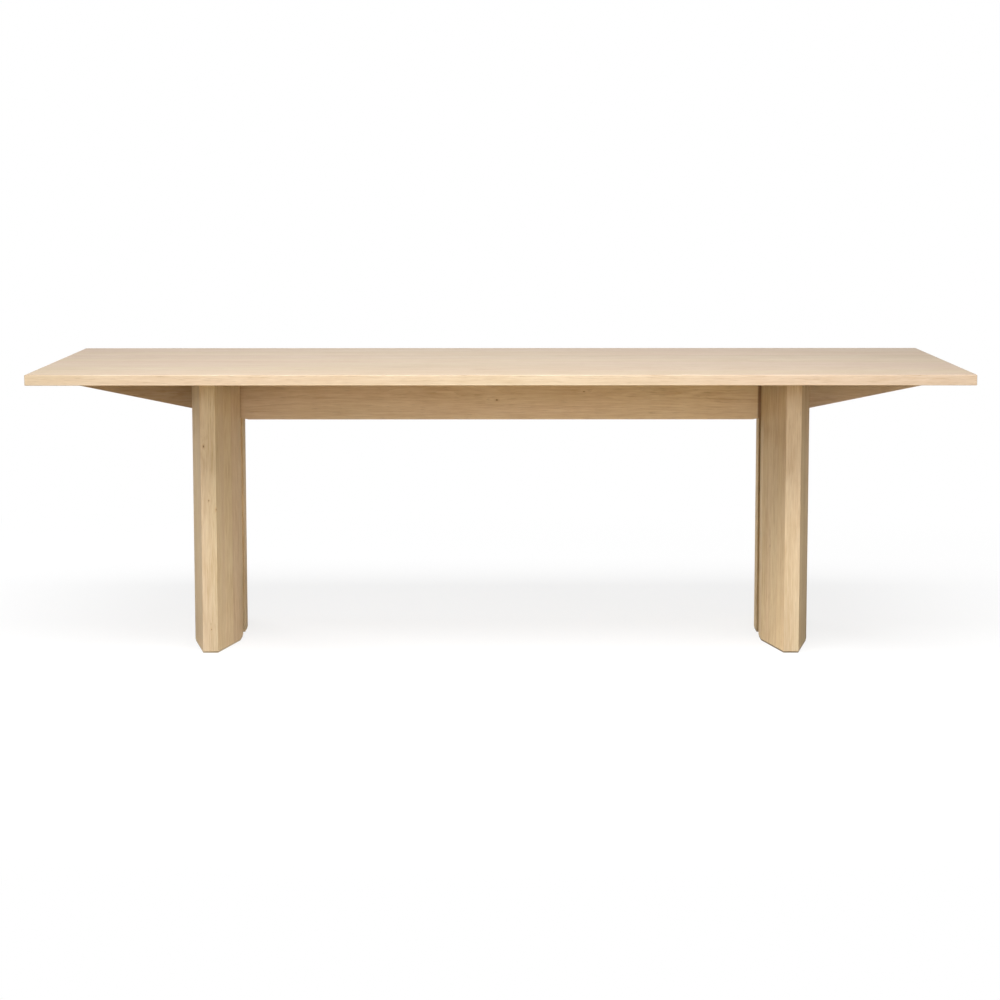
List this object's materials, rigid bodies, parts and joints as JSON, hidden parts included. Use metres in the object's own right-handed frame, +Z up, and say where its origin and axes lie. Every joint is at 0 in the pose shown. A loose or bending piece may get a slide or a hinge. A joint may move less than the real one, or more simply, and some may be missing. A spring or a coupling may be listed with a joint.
{
  "type": "communion table",
  "caption": "Long oak table for church or hall use: plank top on paired wedge-shaped posts at each end, with a tapered beam held between them and levelling feet.",
  "frame": {"origin": "on the floor under the middle of the table top", "axes": "+X along the table's length, +Y to the back, +Z up"},
  "size_m": [2.4, 1, 0.75],
  "materials": {
    "oak_top": "matte lacquered oak",
    "oak_post": "matte lacquered oak",
    "oak_beam": "matte lacquered oak",
    "beech_dowel": "unfinished beech",
    "black_steel": "satin black powder coat",
    "zinc_steel": "bright zinc plate",
    "brass_insert": "turned brass",
    "nylon_pad": "moulded nylon"
  },
  "bodies": {
    "root": {"top_stave_1": "oak_top", "top_stave_2": "oak_top", "top_stave_3": "oak_top", "top_stave_4": "oak_top", "top_stave_5": "oak_top", "top_stave_6": "oak_top", "top_stave_7": "oak_top", "top_channel_1": "black_steel", "top_channel_2": "black_steel", "top_channel_3": "black_steel", "top_channel_4": "black_steel", "channel_screws": "zinc_steel", "post_front_left_board_1": "oak_post", "post_front_left_board_2": "oak_post", "post_front_left_board_3": "oak_post", "post_front_left_board_4": "oak_post", "post_rear_left_board_1": "oak_post", "post_rear_left_board_2": "oak_post", "post_rear_left_board_3": "oak_post", "post_rear_left_board_4": "oak_post", "post_front_right_board_1": "oak_post", "post_front_right_board_2": "oak_post", "post_front_right_board_3": "oak_post", "post_front_right_board_4": "oak_post", "post_rear_right_board_1": "oak_post", "post_rear_right_board_2": "oak_post", "post_rear_right_board_3": "oak_post", "post_rear_right_board_4": "oak_post", "beam_front_board": "oak_beam", "beam_rear_board": "oak_beam", "beam_dowels": "beech_dowel", "beam_bolts": "zinc_steel", "beam_washers": "zinc_steel", "beam_inserts": "brass_insert", "leg_plate_left": "black_steel", "leg_plate_right": "black_steel", "plate_post_bolts": "zinc_steel", "post_head_inserts": "brass_insert", "plate_top_bolts": "zinc_steel", "plate_top_inserts": "brass_insert", "leveller_inserts": "brass_insert"},
    "foot_front_left_outer": {"leveller_pad_front_left_outer": "nylon_pad"},
    "screw_front_left_outer": {"leveller_stud_front_left_outer": "zinc_steel"},
    "foot_front_left_inner": {"leveller_pad_front_left_inner": "nylon_pad"},
    "screw_front_left_inner": {"leveller_stud_front_left_inner": "zinc_steel"},
    "foot_rear_left_outer": {"leveller_pad_rear_left_outer": "nylon_pad"},
    "screw_rear_left_outer": {"leveller_stud_rear_left_outer": "zinc_steel"},
    "foot_rear_left_inner": {"leveller_pad_rear_left_inner": "nylon_pad"},
    "screw_rear_left_inner": {"leveller_stud_rear_left_inner": "zinc_steel"},
    "foot_front_right_outer": {"leveller_pad_front_right_outer": "nylon_pad"},
    "screw_front_right_outer": {"leveller_stud_front_right_outer": "zinc_steel"},
    "foot_front_right_inner": {"leveller_pad_front_right_inner": "nylon_pad"},
    "screw_front_right_inner": {"leveller_stud_front_right_inner": "zinc_steel"},
    "foot_rear_right_outer": {"leveller_pad_rear_right_outer": "nylon_pad"},
    "screw_rear_right_outer": {"leveller_stud_rear_right_outer": "zinc_steel"},
    "foot_rear_right_inner": {"leveller_pad_rear_right_inner": "nylon_pad"},
    "screw_rear_right_inner": {"leveller_stud_rear_right_inner": "zinc_steel"}
  },
  "joints": [
    {"name": "foot_travel_front_left_outer", "type": "slide", "parent": "root", "child": "foot_front_left_outer", "axis": [0, 0, -1], "range_m": [0, 0.01]},
    {"name": "foot_screw_front_left_outer", "type": "hinge", "parent": "foot_front_left_outer", "child": "screw_front_left_outer", "pos_m": [-0.764, -0.25, 0.03], "axis": [0, 0, -1], "range_deg": [0, 2880.1]},
    {"name": "foot_travel_front_left_inner", "type": "slide", "parent": "root", "child": "foot_front_left_inner", "axis": [0, 0, -1], "range_m": [0, 0.01]},
    {"name": "foot_screw_front_left_inner", "type": "hinge", "parent": "foot_front_left_inner", "child": "screw_front_left_inner", "pos_m": [-0.764, -0.062, 0.03], "axis": [0, 0, -1], "range_deg": [0, 2880.1]},
    {"name": "foot_travel_rear_left_outer", "type": "slide", "parent": "root", "child": "foot_rear_left_outer", "axis": [0, 0, -1], "range_m": [0, 0.01]},
    {"name": "foot_screw_rear_left_outer", "type": "hinge", "parent": "foot_rear_left_outer", "child": "screw_rear_left_outer", "pos_m": [-0.764, 0.25, 0.03], "axis": [0, 0, -1], "range_deg": [0, 2880.1]},
    {"name": "foot_travel_rear_left_inner", "type": "slide", "parent": "root", "child": "foot_rear_left_inner", "axis": [0, 0, -1], "range_m": [0, 0.01]},
    {"name": "foot_screw_rear_left_inner", "type": "hinge", "parent": "foot_rear_left_inner", "child": "screw_rear_left_inner", "pos_m": [-0.764, 0.062, 0.03], "axis": [0, 0, -1], "range_deg": [0, 2880.1]},
    {"name": "foot_travel_front_right_outer", "type": "slide", "parent": "root", "child": "foot_front_right_outer", "axis": [0, 0, -1], "range_m": [0, 0.01]},
    {"name": "foot_screw_front_right_outer", "type": "hinge", "parent": "foot_front_right_outer", "child": "screw_front_right_outer", "pos_m": [0.764, -0.25, 0.03], "axis": [0, 0, -1], "range_deg": [0, 2880.1]},
    {"name": "foot_travel_front_right_inner", "type": "slide", "parent": "root", "child": "foot_front_right_inner", "axis": [0, 0, -1], "range_m": [0, 0.01]},
    {"name": "foot_screw_front_right_inner", "type": "hinge", "parent": "foot_front_right_inner", "child": "screw_front_right_inner", "pos_m": [0.764, -0.062, 0.03], "axis": [0, 0, -1], "range_deg": [0, 2880.1]},
    {"name": "foot_travel_rear_right_outer", "type": "slide", "parent": "root", "child": "foot_rear_right_outer", "axis": [0, 0, -1], "range_m": [0, 0.01]},
    {"name": "foot_screw_rear_right_outer", "type": "hinge", "parent": "foot_rear_right_outer", "child": "screw_rear_right_outer", "pos_m": [0.764, 0.25, 0.03], "axis": [0, 0, -1], "range_deg": [0, 2880.1]},
    {"name": "foot_travel_rear_right_inner", "type": "slide", "parent": "root", "child": "foot_rear_right_inner", "axis": [0, 0, -1], "range_m": [0, 0.01]},
    {"name": "foot_screw_rear_right_inner", "type": "hinge", "parent": "foot_rear_right_inner", "child": "screw_rear_right_inner", "pos_m": [0.764, 0.062, 0.03], "axis": [0, 0, -1], "range_deg": [0, 2880.1]}
  ],
  "couplings": [
    {"joint": "foot_screw_front_left_outer", "follows": "foot_travel_front_left_outer", "rad_per_m": 5026.5},
    {"joint": "foot_screw_front_left_inner", "follows": "foot_travel_front_left_inner", "rad_per_m": 5026.5},
    {"joint": "foot_screw_rear_left_outer", "follows": "foot_travel_rear_left_outer", "rad_per_m": 5026.5},
    {"joint": "foot_screw_rear_left_inner", "follows": "foot_travel_rear_left_inner", "rad_per_m": 5026.5},
    {"joint": "foot_screw_front_right_outer", "follows": "foot_travel_front_right_outer", "rad_per_m": 5026.5},
    {"joint": "foot_screw_front_right_inner", "follows": "foot_travel_front_right_inner", "rad_per_m": 5026.5},
    {"joint": "foot_screw_rear_right_outer", "follows": "foot_travel_rear_right_outer", "rad_per_m": 5026.5},
    {"joint": "foot_screw_rear_right_inner", "follows": "foot_travel_rear_right_inner", "rad_per_m": 5026.5}
  ]
}
